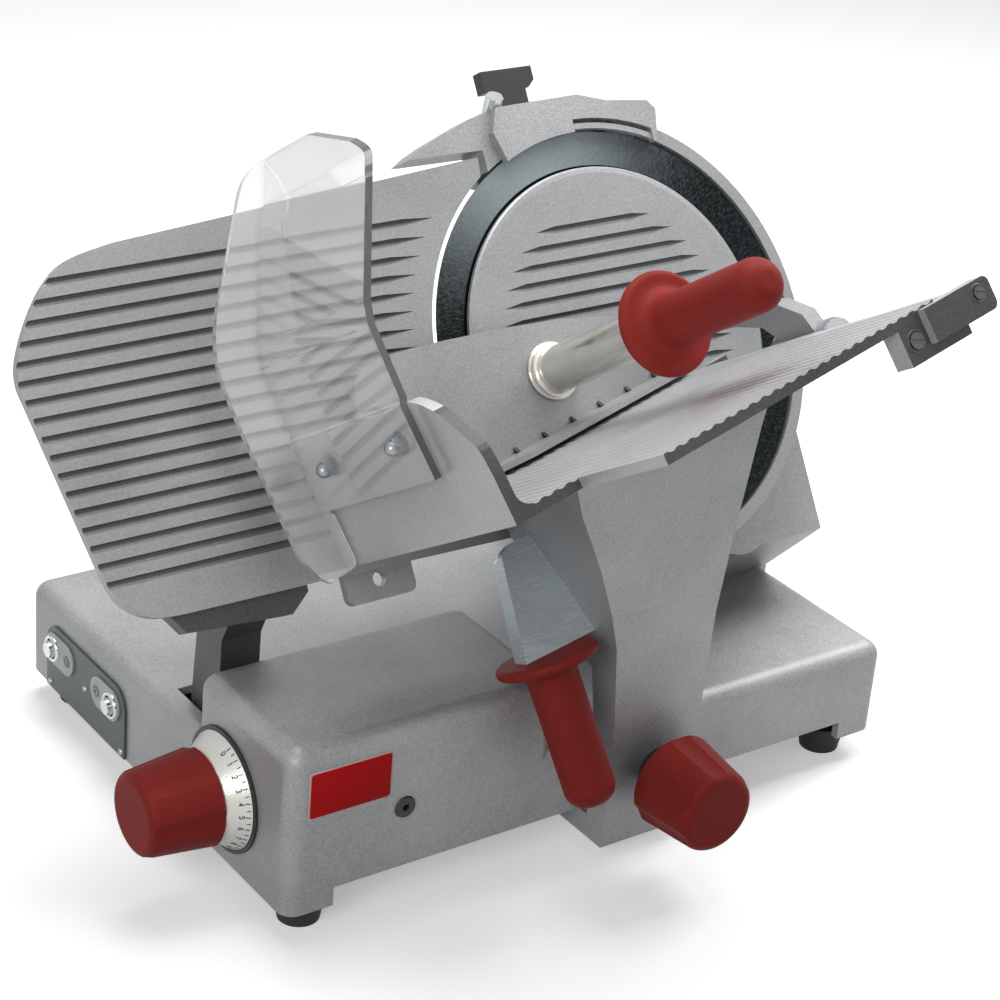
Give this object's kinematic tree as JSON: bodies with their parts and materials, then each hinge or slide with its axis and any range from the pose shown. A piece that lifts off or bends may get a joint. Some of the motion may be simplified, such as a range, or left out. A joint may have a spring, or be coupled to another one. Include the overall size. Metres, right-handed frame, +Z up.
{
  "type": "food slicer",
  "caption": "Electric gravity food slicer with a tilted round blade, a dial-set gauge plate and a sliding food tray with pusher.",
  "frame": {"origin": "middle of the machine's outline, on the table under its feet", "axes": "+X along the carriage's travel to the operator's right, +Y to the back, +Z up"},
  "size_m": [0.611, 0.5298, 0.5033],
  "materials": {
    "cast_alloy": "sand cast, satin",
    "polished_cast": "cast, fine satin",
    "sheet_alloy": "rolled sheet, satin",
    "foot_rubber": "matte",
    "screw_steel": "zinc plated",
    "panel_paint": "satin",
    "plate_paint": "satin",
    "black_plastic": "fine grain",
    "bearing_steel": "ground",
    "motor_paint": "satin",
    "belt_rubber": "matte",
    "rod_steel": "ground and plated",
    "rail_steel": "ground",
    "blade_steel": "hard chromed, turned",
    "hub_steel": "turned",
    "grip_red": "satin moulded",
    "dial_silver": "turned, satin",
    "clear_plastic": "clear acrylic",
    "shoe_plastic": "smooth",
    "button_chrome": "polished",
    "sleeve_steel": "polished",
    "bracket_steel": "polished",
    "grit_stone": "bonded grit"
  },
  "bodies": {
    "base": {"base_housing": "cast_alloy", "bottom_cover": "sheet_alloy", "feet": "foot_rubber", "foot_screws": "screw_steel", "control_panel": "panel_paint", "button_plates": "plate_paint", "panel_screws": "screw_steel", "circuit_box": "black_plastic", "front_plug": "black_plastic", "neck_casting": "cast_alloy", "ring_guard": "polished_cast", "guard_screws": "screw_steel", "hub_bearings": "bearing_steel", "belt_cover": "sheet_alloy", "cover_screws": "screw_steel", "motor_body": "motor_paint", "drive_belt": "belt_rubber", "carriage_rod": "rod_steel", "guide_rail": "rail_steel", "gauge_bracket": "rail_steel", "gauge_rod": "rod_steel", "dial_bezel": "black_plastic", "dial_bush": "black_plastic", "blade_cover": "polished_cast", "tie_rod": "rod_steel", "sharpener_base": "cast_alloy", "sharpener_housing": "cast_alloy"},
    "blade_rotor": {"blade": "blade_steel", "blade_hub": "hub_steel", "blade_screws": "screw_steel", "hub_pulley": "hub_steel"},
    "motor_rotor": {"motor_shaft": "hub_steel"},
    "dial": {"dial_knob": "grip_red", "dial_ring": "dial_silver", "dial_shaft": "hub_steel"},
    "gauge": {"gauge_plate": "polished_cast", "gauge_arm": "cast_alloy", "gauge_screws": "screw_steel"},
    "carriage": {"carriage_slider": "cast_alloy", "slide_shoe": "shoe_plastic", "column": "cast_alloy", "handle_bracket": "bracket_steel", "handle_grip": "grip_red", "tray": "polished_cast", "pusher_rod": "rod_steel", "hand_guard": "clear_plastic", "guard_nuts": "screw_steel"},
    "carriage_lock": {"lock_knob": "grip_red", "lock_stem": "black_plastic"},
    "pusher_carrier": {"pusher_slider": "rod_steel"},
    "pusher": {"pusher_plate": "polished_cast", "pusher_sleeve": "sleeve_steel", "pusher_grip": "grip_red"},
    "start_push": {"start_button": "button_chrome"},
    "stop_push": {"stop_button": "button_chrome"},
    "sharpener_clamp": {"wing_knob": "black_plastic"},
    "stone_push": {"stone_button": "button_chrome"},
    "front_stone_rotor": {"front_stone": "grit_stone"},
    "rear_stone_rotor": {"rear_stone": "grit_stone"}
  },
  "joints": [
    {"name": "blade_spin", "type": "hinge", "parent": "base", "child": "blade_rotor", "pos_m": [0.1435, 0.04294, 0.306], "axis": [0, -0.8434, 0.5373], "continuous": true},
    {"name": "motor_spin", "type": "hinge", "parent": "base", "child": "motor_rotor", "pos_m": [0.2285, -0.03121, 0.18961], "axis": [0, -0.8434, 0.5373], "continuous": true},
    {"name": "gauge_slide", "type": "slide", "parent": "base", "child": "gauge", "axis": [0, 0.8434, -0.5373], "range_m": [0, 0.014]},
    {"name": "dial_turn", "type": "hinge", "parent": "base", "child": "dial", "pos_m": [-0.2045, -0.02306, 0.075], "axis": [-1, 0, 0], "range_deg": [0, 300]},
    {"name": "carriage_slide", "type": "slide", "parent": "base", "child": "carriage", "axis": [1, 0, 0], "range_m": [-0.13, 0.15]},
    {"name": "lock_turn", "type": "hinge", "parent": "carriage", "child": "carriage_lock", "pos_m": [0.074, -0.12857, 0.068], "axis": [0, -1, 0], "range_deg": [0, 180]},
    {"name": "pusher_slide", "type": "slide", "parent": "carriage", "child": "pusher_carrier", "axis": [0, -0.8434, 0.5373], "range_m": [0, 0.115]},
    {"name": "pusher_swing", "type": "hinge", "parent": "pusher_carrier", "child": "pusher", "pos_m": [0.19043, -0.09628, 0.34803], "axis": [0, 0.8434, -0.5373], "range_deg": [0, 105]},
    {"name": "start_press", "type": "slide", "parent": "base", "child": "start_push", "axis": [1, 0, 0], "range_m": [0, 0.003], "stiffness_N_per_m": 500},
    {"name": "stop_press", "type": "slide", "parent": "base", "child": "stop_push", "axis": [1, 0, 0], "range_m": [0, 0.003], "stiffness_N_per_m": 500},
    {"name": "clamp_turn", "type": "hinge", "parent": "base", "child": "sharpener_clamp", "pos_m": [0.1075, 0.1454, 0.44822], "axis": [0, 0.5373, 0.8434], "range_deg": [0, 180]},
    {"name": "stone_press", "type": "slide", "parent": "base", "child": "stone_push", "axis": [0, 0.2164, -0.9763], "range_m": [0, 0.004], "stiffness_N_per_m": 600},
    {"name": "front_stone_spin", "type": "hinge", "parent": "base", "child": "front_stone_rotor", "pos_m": [0.1765, 0.12783, 0.43926], "axis": [0, -0.8434, 0.5373], "continuous": true},
    {"name": "rear_stone_spin", "type": "hinge", "parent": "base", "child": "rear_stone_rotor", "pos_m": [0.1185, 0.12138, 0.42913], "axis": [0, -0.8434, 0.5373], "continuous": true}
  ],
  "couplings": [
    {"joint": "motor_spin", "follows": "blade_spin", "ratio": 3.0588},
    {"joint": "dial_turn", "follows": "gauge_slide", "rad_per_m": 374}
  ]
}
